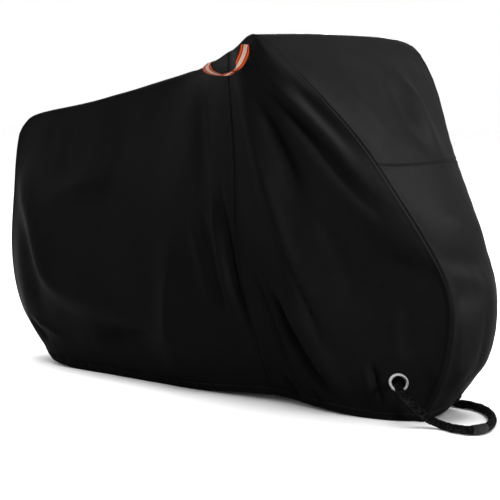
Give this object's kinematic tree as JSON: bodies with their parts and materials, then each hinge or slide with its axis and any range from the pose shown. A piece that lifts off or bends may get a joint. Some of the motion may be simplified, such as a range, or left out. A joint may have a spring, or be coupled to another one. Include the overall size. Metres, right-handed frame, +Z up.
{
  "type": "bicycle cover",
  "caption": "Fitted cloth cover draped as over a standing bicycle, open below, with a webbing handle, eyelets and a rope looped through them.",
  "frame": {"origin": "on the ground under the middle of the cloth's box, as it hangs over a standing bicycle", "axes": "+X towards the end over the front wheel, -Y towards the side with the handle, +Z up"},
  "size_m": [1.7959, 0.792, 0.9961],
  "materials": {
    "black_cloth": "closely woven coated polyester, satin, with soft folds",
    "orange_webbing": "flat woven webbing, orange with a pale grey stripe along its middle",
    "eyelet_metal": "bright plated metal, turned edges",
    "black_rope": "matt woven sleeve, gathered along the rope",
    "grey_band": "smooth grey sleeve"
  },
  "bodies": {
    "root": {"side_rear_near": "black_cloth", "side_front_near": "black_cloth", "side_rear_far": "black_cloth", "side_front_far": "black_cloth", "top_strip": "black_cloth", "front_upper": "black_cloth", "front_lower": "black_cloth", "handle": "orange_webbing", "eyelet_near": "eyelet_metal", "eyelet_far": "eyelet_metal", "rope": "black_rope", "rope_band": "grey_band"}
  },
  "joints": []
}
